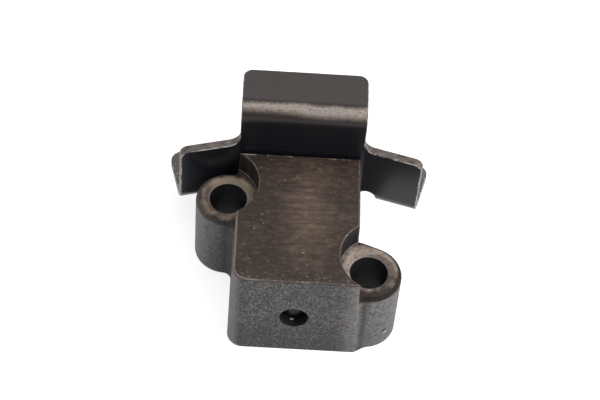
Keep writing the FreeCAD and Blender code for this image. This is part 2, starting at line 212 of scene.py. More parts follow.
class StageSettings(bpy.types.PropertyGroup):
    """Camera, lamps and floor."""
    elevation: angle("Elevation", "Camera's angle above the floor", 52.27)
    heading: angle("Heading", "Camera's turn about the upright axis", -2.38)
    roll: angle("Roll", "Camera's turn about its own axis", 5.12)
    distance: length("Distance", "From the camera to its target", 336.6)
    target: point("Target", "Point in the middle of the picture", (0.31, 10.97, 10.4))
    lens: number("Lens", "Focal length in millimetres", 113.1, 20.0, 300.0)
    key: power("Key Lamp", "Power of the lamp at the front right", 2.3)
    fill: power("Fill Lamp", "Power of the lamp at the left", 0.55)
    top: power("Top Lamp", "Power of the lamp overhead", 0.8)
    sky: number("Room Light", "Strength of the room's even light", 0.38, 0.0, 2.0)
    floor: colour("Floor", "Colour of the floor", (0.7, 0.7, 0.7))
    glow: number("Floor Glow", "Light that lifts the floor to white", 0.66, 0.0, 1.0)


# Node trees

class Nodes:
    """A node tree under construction, with short names for the nodes that the finishes use."""

    def __init__(self, tree):
        self.tree = tree

    def add(self, kind, inputs=None, **settings):
        """New node; an input takes a value or a link from a socket."""
        node = self.tree.nodes.new(kind)
        for name, value in settings.items():
            setattr(node, name, value)
        for key, value in (inputs or {}).items():
            if isinstance(value, bpy.types.NodeSocket):
                self.tree.links.new(value, node.inputs[key])
            else:
                node.inputs[key].default_value = value
        return node

    def math(self, operation, a, b=0.0):
        return self.add("ShaderNodeMath", {0: a, 1: b}, operation=operation).outputs[0]

    def plus(self, a, b):
        return self.math("ADD", a, b)

    def minus(self, a, b):
        return self.math("SUBTRACT", a, b)

    def times(self, first, *others):
        """Product; of masks, the mask where all of them are."""
        for other in others:
            first = self.math("MULTIPLY", first, other)
        return first

    def most(self, first, *others):
        """Largest; of masks, the mask where any of them is."""
        for other in others:
            first = self.math("MAXIMUM", first, other)
        return first

    def band(self, value, low, high):
        """Smooth step from 0 at low to 1 at high; low may be the larger."""
        return self.add("ShaderNodeMapRange", {"Value": value, "From Min": low, "From Max": high},
                        interpolation_type="SMOOTHSTEP").outputs["Result"]

    def between(self, value, low, high, soft):
        """Mask of a stretch with soft ends."""
        return self.times(self.band(value, low - soft, low + soft),
                          self.band(value, high + soft, high - soft))

    def mix(self, factor, a, b):
        """Colour a where the factor is 0 and b where it is 1."""
        ends = [value if isinstance(value, bpy.types.NodeSocket) else (*value, 1.0) for value in (a, b)]
        return self.add("ShaderNodeMix", {0: factor, 6: ends[0], 7: ends[1]}, data_type="RGBA").outputs[2]

    def layers(self, hue, *films):
        """Colour under films, each given as its colour, its mask and how strongly it covers there."""
        for tint, mask, cover in films:
            hue = self.mix(self.times(mask, cover), hue, tint)
        return hue

    def level(self, factor, a, b):
        """Number a where the factor is 0 and b where it is 1."""
        return self.add("ShaderNodeMapRange", {"Value": factor, "To Min": a, "To Max": b}).outputs["Result"]

    def scaled(self, vector, factor):
        return self.add("ShaderNodeVectorMath", {0: vector, "Scale": factor}, operation="SCALE").outputs[0]

    def stretched(self, vector, factors):
        return self.add("ShaderNodeVectorMath", {0: vector, 1: factors}, operation="MULTIPLY").outputs[0]

    def noise(self, place, size=1.0, detail=2.0, roughness=0.5, distortion=0.0):
        """Cloudy noise of a size in the place's own unit."""
        values = {"Vector": place, "Scale": 1 / size, "Detail": detail, "Roughness": roughness,
                  "Distortion": distortion}
        return self.add("ShaderNodeTexNoise", values).outputs["Fac"]


class Effect(Nodes):
    """A shader node group with named inputs and outputs, shared by several finishes."""

    def __init__(self, name, inputs, outputs):
        super().__init__(bpy.data.node_groups.new(name, "ShaderNodeTree"))
        for label, default in {"Place": None, **inputs}.items():
            kind = "NodeSocketVector" if default is None else "NodeSocketFloat"
            socket = self.tree.interface.new_socket(label, in_out="INPUT", socket_type=kind)
            if default is not None:
                socket.default_value = default
        for label in outputs:
            self.tree.interface.new_socket(label, in_out="OUTPUT", socket_type="NodeSocketFloat")
        self.given = self.add("NodeGroupInput").outputs
        self.end = self.add("NodeGroupOutput")

    def in_sizes(self):
        """The place, counted in the effect's own size."""
        return self.scaled(self.given["Place"], self.math("DIVIDE", 1.0, self.given["Size"]))

    def blended(self, main, other):
        return self.plus(self.times(main, 0.6), self.times(other, 0.4))

    def give(self, label, socket):
        self.tree.links.new(socket, self.end.inputs[label])


def cast_grain():
    """Specks, pits and relief of a sand cast skin."""
    effect = Effect("Cast Grain", {"Size": 0.3}, ("Speck", "Pit", "Height"))
    place = effect.in_sizes()
    fine = effect.noise(place, 1.0, 3.0, 0.6)
    worms = [effect.math("ABSOLUTE", effect.minus(effect.noise(place, size, 1.0, 0.5, 1.6), 0.5))
             for size in (1.9, 3.0)]
    ridge = effect.math("MINIMUM", *worms)
    veins = effect.times(effect.band(ridge, 0.055, 0.015), effect.band(fine, 0.4, 0.54))
    effect.give("Speck", effect.most(effect.band(fine, 0.56, 0.72), veins))
    effect.give("Pit", effect.band(fine, 0.45, 0.32))
    effect.give("Height", effect.plus(fine, effect.times(veins, 0.5)))
    return effect.tree


def oil_stain():
    """Soft blotches of old oil."""
    effect = Effect("Oil Stain", {"Size": 4.0, "Cover": 0.4}, ("Stain",))
    cloud = effect.noise(effect.in_sizes(), 1.0, 5.0, 0.58, 0.5)
    low = effect.level(effect.given["Cover"], 0.7, 0.34)
    effect.give("Stain", effect.band(cloud, low, effect.plus(low, 0.16)))
    return effect.tree


def rub_marks():
    """Broken patches where metal shows through, finer than a stain."""
    effect = Effect("Rub Marks", {"Size": 0.8, "Cover": 0.5}, ("Rub",))
    place = effect.in_sizes()
    coarse = effect.noise(place, 1.0, 2.0, 0.5)
    fine = effect.noise(place, 0.22, 2.0, 0.6)
    low = effect.level(effect.given["Cover"], 0.68, 0.32)
    effect.give("Rub", effect.band(effect.blended(coarse, fine), low, effect.plus(low, 0.1)))
    return effect.tree


def tool_lines():
    """Fine lines left by grinding or rolling, along the axis in which the place is drawn out."""
    effect = Effect("Tool Lines", {"Size": 0.2}, ("Lines", "Height"))
    place = effect.in_sizes()
    fine = effect.noise(place, 1.0, 2.0, 0.6)
    broad = effect.noise(place, 3.5, 2.0, 0.5)
    effect.give("Lines", effect.band(effect.blended(fine, broad), 0.36, 0.64))
    effect.give("Height", fine)
    return effect.tree


EFFECTS = {}


def effects():
    """The shared effects, each made once."""
    if not EFFECTS:
        for make in (cast_grain, oil_stain, rub_marks, tool_lines):
            EFFECTS[make.__name__] = make()
    return EFFECTS


class Finish(Nodes):
    """A material with one shader and the place on its piece in millimetres."""

    def __init__(self, name, metallic=0.0, specular=0.5):
        self.material = bpy.data.materials.new(name)
        self.material.use_nodes = True
        super().__init__(self.material.node_tree)
        self.shader = self.tree.nodes["Principled BSDF"]
        self.shader.inputs["Metallic"].default_value = metallic
        self.shader.inputs["Specular IOR Level"].default_value = specular
        self.place = self.scaled(self.add("ShaderNodeTexCoord").outputs["Object"], 1 / MM)

    def effect(self, name, stretch=None, **values):
        """Outputs of a shared effect; a stretch below 1 draws it out along that axis."""
        place = self.stretched(self.place, stretch) if stretch else self.place
        return self.add("ShaderNodeGroup", {"Place": place, **values}, node_tree=effects()[name]).outputs

    def stain(self, size, cover, stretch=None):
        return self.effect("oil_stain", stretch, Size=size, Cover=cover)["Stain"]

    def marks(self, size, cover, stretch=None):
        return self.effect("rub_marks", stretch, Size=size, Cover=cover)["Rub"]

    def lines(self, size, stretch):
        """Mask and height of tool lines."""
        made = self.effect("tool_lines", stretch, Size=size)
        return made["Lines"], made["Height"]

    def axes(self):
        """The three numbers of the place."""
        return self.add("ShaderNodeSeparateXYZ", {0: self.place}).outputs

    def from_bolts(self, shifts=((0.0, 0.0), (0.0, 0.0))):
        """Distance in plan from the nearer bolt's axis, each axis shifted; in millimetres."""
        flat = self.stretched(self.place, (1.0, 1.0, 0.0))
        reach = [self.away(flat, (axis.x / MM + shift[0], axis.y / MM + shift[1], 0.0))
                 for axis, shift in zip(BOLT_AXES, shifts)]
        return self.math("MINIMUM", *reach)

    def away(self, place, point):
        """Distance of a place from a point."""
        return self.add("ShaderNodeVectorMath", {0: place, 1: point}, operation="DISTANCE").outputs["Value"]

    def wavy(self, value, size, amount):
        """A number made uneven by noise of a size, so that borders drawn with it waver."""
        noise = self.minus(self.noise(self.place, size, 3.0, 0.55), 0.5)
        return self.plus(value, self.times(noise, amount))

    def done(self, hue, roughness, height=None, depth=0.0):
        """The material with its colour, its roughness and a bump of a depth in millimetres."""
        self.tree.links.new(hue, self.shader.inputs["Base Color"])
        self.tree.links.new(roughness, self.shader.inputs["Roughness"])
        if height is not None:
            bump = self.add("ShaderNodeBump", {"Height": height, "Strength": 1.0, "Distance": depth * MM})
            self.tree.links.new(bump.outputs[0], self.shader.inputs["Normal"])
        return self.material


# Finishes of the casting; their sizes and places are in millimetres

def skin_colour(coat, look):
    """Colour and grain of the rough casting: oil in its pores, painted shade in its creases, darker towards
    the bottom, paler at its rubbed right end and with painted light at its left end.
    """
    x, _, z = coat.axes()
    grain = coat.effect("cast_grain", Size=look.grain_size / MM)
    cloud = coat.level(coat.noise(coat.place, 3.5, 2.0), 0.45, 1.0)
    across = coat.wavy(x, 3.0, 3.0)
    right = coat.times(coat.band(across, BOLT_X - 5.5, BOLT_X - 1.5), 0.42)
    # Painted light: the left end is made paler where light falls on it.
    left = coat.times(coat.band(across, 2.5 - BOLT_X, -4.0 - BOLT_X), 0.36)
    ends = coat.most(right, left)
    mottled = coat.times(ends, 1.35)
    blotch = coat.noise(coat.place, 0.6, 3.0, 0.68)
    calm = coat.level(coat.band(across, 4.0 - BOLT_X, 1.5 - BOLT_X), 1.0, 0.75)
    low = coat.band(coat.wavy(z, 4.0, 8.0), 11.0, 3.0)
    sheltered = coat.add("ShaderNodeAttribute", attribute_name=SHELTER).outputs["Fac"]
    hue = coat.layers(
        look.skin,
        (look.shade, low, 0.85),
        (look.speck_and_light, ends, 1.0),
        (look.speck_and_light, coat.times(grain["Speck"], cloud, coat.level(low, 1.0, 0.7)), calm),
        (look.pit, coat.times(grain["Pit"], 0.85), calm),
        (look.speck_and_light, coat.band(blotch, 0.5, 0.68), mottled),
        (look.pit, coat.band(blotch, 0.5, 0.32), mottled),
        # Painted shade: darker where the metal round a point closes it in.
        (look.shade, coat.band(sheltered, 0.08, 0.36), 0.7))
    return hue, grain["Height"]


def cast_skin(look):
    """Rough grey sand cast side: brown over the bosses' rounded edges, one deeper flaw low on the right with
    a painted glint on its lip, painted shade in the hollows beside the bosses, and painted highlights on the
    front corners and the left end.
    """
    coat = Finish("cast_skin", specular=0.3)
    hue, height = skin_colour(coat, look)
    x, y, z = coat.axes()
    stain = coat.stain(6.0, 0.4)
    wall = look.right_wall / MM
    across = coat.wavy(x, 1.2, 0.8)
    # Painted highlight down the rounded front right corner.
    corner = coat.times(coat.between(across, wall - 1.1, wall + 0.2, 0.5),
                        coat.band(y, FRONT + 1.16, FRONT + 0.66))
    # Painted shade in the hollow between that corner and the right boss.
    valley_shade = coat.times(coat.between(across, wall + 0.9, wall + 2.0, 0.6),
                        coat.band(y, FRONT + 2.06, FRONT + 1.46))
    # Painted highlight on the front left corner and painted light on the left end.
    lit_left_corner = coat.times(coat.band(x, 1.56 - wall, 0.06 - wall),
                             coat.band(y, FRONT + 4.06, FRONT + 1.56))
    lit_left_end = coat.band(across, LEFT + 3.1, LEFT - 0.5)
    # Painted shade in the hollow where the left boss meets the block.
    crease_shade = coat.times(coat.between(across, -BOLT_X, 2.56 - wall, 1.2), coat.band(y, -3.0, 0.0))
    leftward = coat.band(x, -4.0, -8.0)
    crown = look.boss_top / MM
    low = crown - look.boss_round / MM
    border = coat.minus(coat.wavy(z, 0.5, 0.6), coat.times(leftward, 0.3))
    shoulder = coat.times(coat.band(border, low - 0.14, low + 0.16), coat.band(z, crown + 0.1, crown),
                          coat.band(coat.from_bolts(), 6.8, 6.3), coat.level(leftward, 1.0, 0.7))
    brown = coat.mix(coat.times(coat.marks(0.8, 0.26), 0.24), look.shoulder, look.ring)
    pit = Vector(look.flaw) / MM
    flaw = coat.away(coat.place, pit)
    # Painted glint on the flaw's lip.
    lip = coat.away(coat.place, pit + Vector((0.15, 0.12, -0.55)))
    hue = coat.layers(
        hue,
        (look.shade, stain, 0.45),
        (look.speck_and_light, coat.most(lit_left_end, lit_left_corner), 0.62),
        (look.shade, crease_shade, 0.35),
        (look.rub_and_highlight, corner, 0.22),
        (look.shade, valley_shade, 0.75),
        (look.glint, coat.band(lip, 0.44, 0.22), 0.65),
        (look.pit, coat.band(flaw, 0.52, 0.38), 1.0),
        (brown, shoulder, 1.0))
    height = coat.times(height, coat.level(shoulder, 1.0, 0.4))
    return coat.done(hue, coat.level(stain, 0.66, 0.5),
                     coat.minus(height, coat.band(flaw, 0.45, 0.15)), 0.1)


def ground_top(look):
    """Brown oiled top with grinding lines across it, tan patches, dark stains, painted shade over its left,
    bare edges and a painted highlight along its rear edge.
    """
    coat = Finish("ground_top", specular=0.35)
    x, y, _ = coat.axes()
    spacing = look.line_spacing / MM
    wall = look.right_wall / MM
    edge = (BODY_HIGH.y - look.edge_break) / MM
    fine, height = coat.lines(spacing, (0.06, 1.0, 1.0))
    broad, _ = coat.lines(1.1 * spacing, (0.22, 1.0, 1.0))
    stain = coat.stain(3.2, 0.38, (0.8, 1.3, 1.0))
    speckle = coat.marks(0.5, 0.42)
    weave = coat.noise(coat.stretched(coat.place, (0.45, 1.0, 1.0)), 0.7, 5.0, 0.72)
    swathe = coat.away(coat.stretched(coat.place, (1.0, 0.42, 0.0)), (2.0, 0.4, 0.0))
    # Tan patch over the middle and tan blotches.
    rubbed = coat.most(coat.band(coat.wavy(swathe, 3.0, 9.0), 7.0, 0.5),
                       coat.times(coat.stain(7.0, 0.5), 0.35))
    front = coat.band(coat.wavy(y, 2.5, 4.0), FRONT + 3.0, FRONT + 1.0)
    grime = coat.most(coat.times(stain, speckle), coat.times(front, 0.45))
    side = coat.band(coat.wavy(x, 1.0, 0.25), 0.21 - wall, -0.09 - wall)
    # Painted highlight: a broken light line along the rear edge.
    rear = coat.times(coat.band(y, edge - 0.3, edge - 0.12), coat.marks(1.0, 0.52, (0.5, 1.0, 1.0)))
    hue = coat.layers(
        look.top,
        (look.top_light, rubbed, 0.85),
        # Painted shade over the left of the top.
        (look.top_stain_and_shade, coat.band(x, -3.0, -7.0), 0.42),
        (look.top_stain_and_shade, broad, 0.28),
        (look.top_stain_and_shade, fine, 0.5),
        (look.top_light, coat.band(weave, 0.48, 0.7), 0.3),
        (look.top_stain_and_shade, coat.band(weave, 0.52, 0.32), 0.5),
        (look.top_stain_and_shade, grime, 0.55),
        (look.rub_and_highlight, coat.times(front, speckle), 0.32),
        (look.rub_and_highlight, coat.marks(0.8, 0.17), 0.8),
        (look.rub_and_highlight, side, 0.55),
        (look.rub_and_highlight, rear, 0.9))
    return coat.done(hue, coat.level(coat.most(stain, broad), 0.4, 0.58),
                     coat.plus(height, coat.times(broad, 0.5)), 0.014)


def boss_ring(look):
    """Face of a boss: rubbed tan by its bolt head, brown outside, a bare line round the hole, and painted
    light on the far side of the left boss.
    """
    coat = Finish("boss_ring", specular=0.22)
    x, y, _ = coat.axes()
    stain = coat.stain(1.3, 0.44)
    mottle = coat.marks(0.8, 0.44)
    flecks = coat.marks(0.7, 0.36)
    grit = coat.noise(coat.place, 0.3, 3.0, 0.7)
    bolt = coat.from_bolts()
    hole = BOLT_RADIUS / MM
    rim = coat.band(bolt, hole + 0.28, hole + 0.16)
    inner = coat.wavy(coat.from_bolts(((0.85, 0.3), (-0.7, 0.2))), 0.9, 0.8)
    gold = coat.between(coat.wavy(bolt, 1.0, 0.9), hole + 0.8, hole + 1.6, 0.4)
    left_y = BOLT_AXES[1].y / MM
    # Painted light on the far side of the left boss's face, which the wing above leaves in shade.
    far = coat.times(coat.band(y, left_y + 1.35, left_y + 3.85),
                     coat.band(coat.wavy(bolt, 0.8, 0.8), hole + 2.0, hole + 1.1))
    reach = coat.wavy(coat.from_bolts(((0.0, 0.9), (0.0, 0.1))), 1.5, 2.6)
    outer = coat.times(coat.band(coat.plus(reach, coat.times(grit, 1.6)), hole + 1.2, hole + 3.1),
                       coat.level(far, 1.0, 0.4))
    bared = coat.band(x, 4.0, 9.0)
    hue = coat.layers(
        look.ring,
        (look.ring_bare, bared, 1.0),
        (look.ring_dark, stain, coat.level(bared, 0.7, 0.3)),
        (look.ring_dark, mottle, coat.level(bared, 0.55, 0.4)),
        (look.ring_dark, coat.band(grit, 0.5, 0.3), 0.5),
        (look.rub_and_highlight, flecks, 0.8),
        (look.ring_gold_and_light, coat.times(gold, coat.level(flecks, 0.35, 0.9)), 0.8),
        (look.ring_dark, coat.band(inner, hole + 0.45, hole + 0.1), 0.6),
        (look.ring_gold_and_light, far, coat.level(grit, 0.5, 1.0)),
        (look.shoulder, outer, 0.9),
        (look.rub_and_highlight, rim, 0.3))
    return coat.done(hue, coat.level(stain, 0.54, 0.42), mottle, 0.03)


def rubbed_edge(look):
    """Broken edge where bare metal shows as a thin uneven line, more of it at the front left."""
    coat = Finish("rubbed_edge", specular=0.5)
    x, y, z = coat.axes()
    marks = coat.marks(0.7, 0.46)
    line = coat.band(coat.wavy(z, 1.0, 0.25), (BODY_HIGH.z - look.edge_break) / MM, BODY_HIGH.z / MM)
    left = coat.times(coat.band(x, -4.0, -8.0), coat.band(y, 0.0, -1.0), 0.8)
    shown = coat.level(coat.most(marks, left), 0.16, 0.8)
    return coat.done(coat.layers(look.ring_dark, (look.rub_and_highlight, shown, line)),
                     coat.level(marks, 0.55, 0.4), marks, 0.02)


def milled_wall(look):
    """Blackened wall of a scallop, with upright cutter lines and a painted highlight along its foot."""
    coat = Finish("milled_wall", specular=0.12)
    lines, height = coat.lines(0.3, (1.0, 1.0, 0.05))
    stain = coat.stain(2.5, 0.3)
    base = look.boss_top / MM
    # Painted highlight along the foot of the wall.
    foot = coat.band(coat.wavy(coat.axes()[2], 1.5, 0.25), base + 0.26, base + 0.12)
    hue = coat.layers(look.milled, (look.ring_dark, lines, 0.1), (look.ring_dark, stain, 0.15),
                      (look.rub_and_highlight, foot, 0.85))
    return coat.done(hue, coat.level(stain, 0.4, 0.55), height, 0.01)


def bored_wall(look):
    """Dark oily wall of a drilled hole, with faint rings and a painted glint in the front drilling."""
    coat = Finish("bored_wall", specular=0.2)
    lines, height = coat.lines(0.25, (0.1, 0.1, 1.0))
    glint_at = Vector(look.glint_spot) / MM
    broad = 0.6
    # Painted glint: a small light spot on the drilling wall.
    glint_spot = coat.away(coat.stretched(coat.place, (broad, 1.0, 1.0)), (broad * glint_at.x, glint_at.y, glint_at.z))
    glint_spot = coat.band(glint_spot, 0.26, 0.12)
    hue = coat.layers(look.bored, (look.milled, lines, 0.5), (look.glint, glint_spot, 1.0))
    return coat.done(hue, coat.level(lines, 0.38, 0.52), height, 0.01)


def mounting_face(look):
    """Milled underside that bolts to the engine."""
    coat = Finish("mounting_face", metallic=0.6)
    lines, height = coat.lines(0.3, (1.0, 0.03, 1.0))
    hue = coat.layers(look.rub_and_highlight, (look.ring, lines, 0.5), (look.top, coat.stain(6.0, 0.45), 0.6))
    return coat.done(hue, coat.level(lines, 0.32, 0.48), height, 0.01)


# Finishes of the shoe plate

def plate_skin(look):
    """Front of the blackened sheet: satin flange, bend bright with wear and a painted highlight, and a
    painted brown sheen below it.
    """
    coat = Finish("plate_skin", specular=0.38)
    x, y, z = coat.axes()
    crown = PLATE_HIGH.z / MM
    bend = look.bend / MM
    start = (PLUNGER_HIGH.y - look.sheet) / MM + bend
    run = coat.minus(start + crown, coat.plus(y, z))
    uneven = coat.wavy(coat.wavy(run, 0.45, 0.9), 5.0, 1.2)
    tail = coat.minus(uneven, coat.level(coat.band(x, -8.0, 5.0), 0.1, 0.9))
    above = coat.band(z, crown - bend - 3.0, crown - bend - 1.0)
    lines, height = coat.lines(0.28, (0.08, 1.0, 1.0))
    fine = coat.noise(coat.stretched(coat.place, (0.55, 1.0, 1.0)), 0.26, 4.0, 0.65)
    haze = coat.stain(4.0, 0.4)
    scratch = coat.marks(0.5, 0.14, (0.35, 1.0, 1.0))
    satin = coat.layers(look.satin, (look.satin_red, haze, 0.45), (look.brown, lines, 0.14),
                        (look.bright, scratch, 0.25))
    bright = coat.mix(coat.level(coat.band(fine, 0.24, 0.62), 0.35, 1.0), look.brown, look.bright)
    brown = coat.mix(coat.times(scratch, 0.5), look.brown, look.cut)
    # Painted sheen: brown fading down the bend below the bright band.
    painted_bend_sheen = coat.times(coat.band(run, 2.2 * bend, bend), above)
    # Bright band along the bend: wear and a painted highlight.
    wear_and_highlight = coat.times(coat.band(uneven, 0.8, 2.0), coat.band(tail, 4.3, 1.9), above)
    flange = coat.times(coat.band(run, 0.9, 0.1), above)
    dull = coat.most(wear_and_highlight, flange, coat.times(painted_bend_sheen, 0.6), coat.times(haze, 0.15))
    hue = coat.layers(look.black, (brown, painted_bend_sheen, 0.9), (satin, flange, 1.0), (bright, wear_and_highlight, 0.9),
                      (look.cut, coat.marks(1.6, 0.06), 0.1))
    return coat.done(hue, coat.level(dull, 0.24, 0.52),
                     coat.plus(coat.times(height, 0.3), coat.times(fine, wear_and_highlight)), 0.012)


def plate_back(look):
    """Back of the sheet: blackened, dull where the chain guide rubs it."""
    coat = Finish("plate_back", specular=0.5)
    marks = coat.marks(0.9, 0.4)
    return coat.done(coat.layers(look.black, (look.cut, marks, 0.1)),
                     coat.level(coat.stain(2.2, 0.42), 0.28, 0.46), marks, 0.008)


def foot_flange(look):
    """Upper face of a foot flange: rubbed pale, stained brown, and black in its fold as painted shadow of
    the wing.
    """
    coat = Finish("foot_flange", specular=0.45)
    foot = (GUIDE_FOOT - look.bend + look.sheet) / MM
    stain = coat.stain(2.4, 0.36)
    marks = coat.marks(0.8, 0.4)
    pale = coat.layers(look.cut, (look.rim, coat.level(marks, 0.1, 0.8), 1.0),
                       (look.cut_dark, stain, 0.65))
    # Painted shadow: black in the fold under the wing, pale further out.
    rubbed = coat.band(coat.wavy(coat.axes()[2], 1.5, 0.5), foot + 1.0, foot + 0.25)
    return coat.done(coat.mix(rubbed, look.black, pale), coat.level(stain, 0.46, 0.36),
                     marks, 0.008)


def cut_edge(look):
    """Sheared edge of the sheet, mottled brown and grey in streaks along it."""
    coat = Finish("cut_edge", specular=0.45)
    streak = (0.45, 1.4, 1.0)
    marks = coat.marks(0.5, 0.44, streak)
    stain = coat.stain(0.9, 0.52, streak)
    return coat.done(coat.layers(look.cut, (look.cut_dark, stain, 1.0), (look.rim, marks, 0.5)),
                     coat.level(stain, 0.42, 0.58), marks, 0.03)


def edge_line(look):
    """Rounded rim of the sheet, where bare metal and a painted highlight show as a line."""
    coat = Finish("edge_line", specular=0.5)
    marks = coat.marks(1.2, 0.62)
    # Painted highlight: a light line on the rounded rim, mixed with bare metal.
    return coat.done(coat.mix(marks, look.cut_dark, look.rim), coat.level(marks, 0.5, 0.36))


# Finishes of the steel pieces

def oiled_steel(name, base, oil, stretch, spacing):
    """Bright steel with tool lines along or round it and a brown film of oil."""
    coat = Finish(name, metallic=1.0)
    lines, height = coat.lines(spacing, stretch)
    film = coat.stain(2.5, 0.4)
    return coat.done(coat.layers(base, (oil, lines, 0.18), (oil, film, 0.45)),
                     coat.level(coat.most(film, lines), 0.18, 0.36), height, 0.004)


def plug_ball(look):
    """Blackened ball under oil, a little rubbed."""
    coat = Finish("plug_ball", specular=0.15)
    return coat.done(coat.layers(look.plug, (look.ball, coat.marks(0.6, 0.24), 0.12)),
                     coat.level(coat.stain(1.5, 0.4), 0.3, 0.42))


# Meshes

def placed(name, data):
    """New object in the scene."""
    thing = bpy.data.objects.new(name, data)
    bpy.context.scene.collection.objects.link(thing)
    return thing


def applied(thing, name):
    """Mesh of an object with its modifiers applied."""
    shaped = thing.evaluated_get(bpy.context.evaluated_depsgraph_get())
    data = bpy.data.meshes.new_from_object(shaped)
    data.name = name
    return data


def merged_copy(node):
    """Mesh of a frame node with its loose triangles joined."""
    mesh = bmesh.new()
    mesh.from_mesh(frame["nodes"][node].data)
    bmesh.ops.remove_doubles(mesh, verts=mesh.verts, dist=SEAM)
    return mesh


def piece_from(mesh, name, materials, sharp_angle):
    """New object at the origin from a finished mesh, smooth except at sharp edges."""
    data = bpy.data.meshes.new(name + "_draft")
    mesh.to_mesh(data)
    mesh.free()
    data.shade_smooth()
    data.set_sharp_from_angle(angle=sharp_angle)
    for material in materials:
        data.materials.append(material)
    piece = placed(name, data)
    weighted = piece.modifiers.new("Weighted Normal", "WEIGHTED_NORMAL")
    weighted.keep_sharp = True
    piece.data = applied(piece, name)
    piece.modifiers.remove(weighted)
    return piece


def scallop_axes(look):
    """Axes of the bolt head spaces, which stand further out than the bolts."""
    return [axis + Vector((math.copysign(look.scallop_shift, axis.x), 0)) for axis in BOLT_AXES]


def rear_outline(look, x):
    """How far back the right boss and its blend reach at a place across the body."""
    axis = BOLT_AXES[0]
    radius = BODY_HIGH.x - axis.x
    middle_x = look.right_wall + look.boss_blend
    apart = radius + look.boss_blend
    middle_y = axis.y + math.sqrt(apart ** 2 - (middle_x - axis.x) ** 2)
    join_x = axis.x + (middle_x - axis.x) * radius / apart
    if x < join_x:
        return middle_y - math.sqrt(max(0.0, look.boss_blend ** 2 - (x - middle_x) ** 2))
    return axis.y + math.sqrt(max(0.0, radius ** 2 - (x - axis.x) ** 2))


def straighten_flank(look, mesh):
    """Fills the hollow behind the right boss out to a straight flank that touches the boss."""
    slack = 0.1 * MM
    way = Vector((math.sin(look.flank_lean), math.cos(look.flank_lean)))
    touch = BOLT_AXES[0] + way * (BODY_HIGH.x - BOLT_AXES[0].x)
    for vert in mesh.verts:
        x, y, z = vert.co
        if look.right_wall < x < touch.x and z < look.boss_top + TOUCH:
            outline = rear_outline(look, x)
            if outline - look.boss_round - slack < y < outline + 2 * TOUCH:
                flank = touch.y + (touch.x - x) * way.x / way.y
                vert.co.y += max(0.0, flank - outline)
    mesh.normal_update()


def ease_corner(look, mesh):
    """Eases the foot of the front right corner into its boss in one long curve, which fades out upwards."""
    inset = 0.05 * MM
    start = look.right_wall - inset
    end = start + look.corner_ease
    left, right = start - 0.2 * MM, end + 1.0 * MM
    axis = BOLT_AXES[0]
    near = axis.y - 0.8 * (BODY_HIGH.x - axis.x)
    zone = [vert for vert in mesh.verts
            if left < vert.co.x < right and vert.co.y < near and vert.co.z < look.ease_height]
    foot = sorted((vert.co.x, vert.co.y) for vert in zone if abs(vert.co.z - look.foot_break) < TOUCH)
    places, depths = zip(*foot)
    front, rear = numpy.interp((start, end), places, depths)
    for vert in zone:
        part = min(1.0, max(0.0, (vert.co.x - start) / look.corner_ease))
        eased = front + (rear - front) * part * part * (3 - 2 * part)
        short = min(0.0, eased - numpy.interp(vert.co.x, places, depths)) if 0 < part < 1 else 0.0
        vert.co.y += short * (1 - vert.co.z / look.ease_height)
    mesh.normal_update()


def store_shelter(mesh):
    """Writes at each point how much the metal round it closes it in, from rays over its outer half."""
    layer = mesh.verts.layers.float.new(SHELTER)
    tree = BVHTree.FromBMesh(mesh)
    reach = 5 * MM
    lift = 0.05 * MM
    golden = math.pi * (3 - math.sqrt(5))
    for vert in mesh.verts:
        closed = 0.0
        turn = Vector((0, 0, 1)).rotation_difference(vert.normal)
        for ray in range(SHELTER_RAYS):
            rise = (ray + 0.5) / SHELTER_RAYS
            flat = math.sqrt(1 - rise * rise)
            way = turn @ Vector((flat * math.cos(ray * golden), flat * math.sin(ray * golden), rise))
            hit = tree.ray_cast(vert.co + vert.normal * lift, way, reach)
            if hit[3] is not None:
                closed += 1 - hit[3] / reach
        vert[layer] = closed / SHELTER_RAYS


def body_finish(look, middle, normal):
    """Name of the finish that a face of the casting takes, from its place and direction."""
    hole = min((middle.xy - axis).length for axis in BOLT_AXES)
    scallop = min(abs((middle.xy - axis).length - look.scallop_radius) for axis in scallop_axes(look))
    bore = math.hypot(middle.x, middle.z - AXIS_Z)
    near = 0.1 * MM
    drilled = abs(normal.z) < 0.5 and abs(normal.y) < 0.9999
    if normal.z < -0.9 and middle.z < near:
        return "mounting_face"
    if normal.z > 0.9 and middle.z > BODY_HIGH.z - near:
        return "ground_top"
    if normal.z > 0.95 and abs(middle.z - look.boss_top) < near:
        return "boss_ring"
    if middle.z > BODY_HIGH.z - look.edge_break - near and normal.z > 0.2:
        return "rubbed_edge"
    if hole < BOLT_RADIUS + 3 * near and middle.z < look.boss_top:
        return "boss_ring" if normal.z > 0.3 else "bored_wall"
    if scallop < near and middle.z > look.boss_top:
        return "milled_wall"
    if bore < BORE_RADIUS + 5 * near and abs(normal.y) < 0.9:
        return "bored_wall"
    if drilled and abs(middle.x) < BOLT_RADIUS and middle.z < AXIS_Z / 2:
        return "bored_wall" if middle.y > BODY_LOW.y + BOLT_RADIUS else "cast_skin"
    return "cast_skin"


BODY_FINISHES = (cast_skin, ground_top, boss_ring, rubbed_edge, milled_wall, bored_wall, mounting_face)


def cast_body(look):
    """The casting, each face with the finish of its place."""
    names = [make.__name__ for make in BODY_FINISHES]
    mesh = merged_copy("tensioner_body")
    straighten_flank(look, mesh)
    ease_corner(look, mesh)
    for face in mesh.faces:
        face.material_index = names.index(body_finish(look, face.calc_center_median(), face.normal))
    store_shelter(mesh)
    piece = piece_from(mesh, "cast_body", [make(look) for make in BODY_FINISHES], math.radians(28))
    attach(piece, "body")
    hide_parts("tensioner_body")


def wall_behind(tree, face):
    """How far it is through the metal behind a face."""
    hit = tree.ray_cast(face.calc_center_median() - face.normal * TOUCH, -face.normal)
    return hit[3] if hit[3] is not None else math.inf


